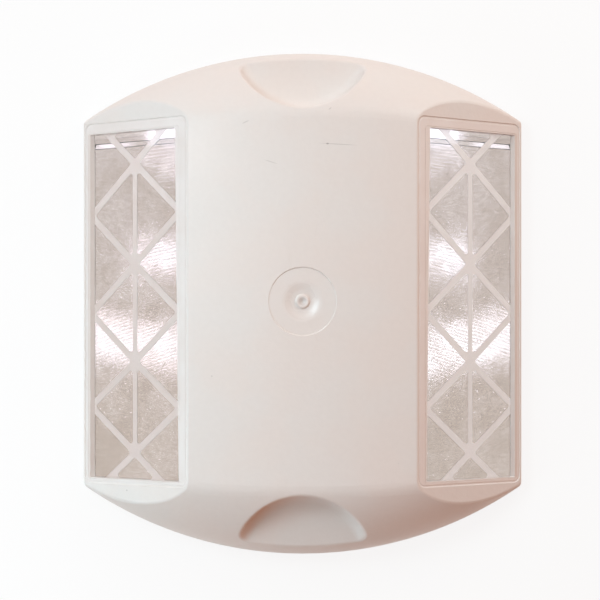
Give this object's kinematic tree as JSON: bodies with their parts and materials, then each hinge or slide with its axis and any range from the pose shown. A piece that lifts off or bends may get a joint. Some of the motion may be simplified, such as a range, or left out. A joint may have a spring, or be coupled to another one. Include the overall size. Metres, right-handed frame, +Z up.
{
  "type": "reflective road stud",
  "caption": "Low raised pavement marker with a crowned white shell, a sloping clear prism lens on each side, finger recesses in the rounded ends and a flat potted base for bonding.",
  "frame": {"origin": "middle of the flat base, on the road surface", "axes": "+Z up from the road, X with the traffic from one lens face to the other, Y across the lane from end to end"},
  "size_m": [0.0886, 0.102, 0.0174],
  "materials": {
    "shell_plastic": "satin",
    "tray_plastic": "satin",
    "lens_clear": "gloss",
    "potting_resin": "matte"
  },
  "bodies": {
    "root": {"body_shell": "shell_plastic", "potting_core": "potting_resin", "lens_tray_left": "tray_plastic", "lens_tray_right": "tray_plastic", "lens_left": "lens_clear", "lens_right": "lens_clear"}
  },
  "joints": []
}
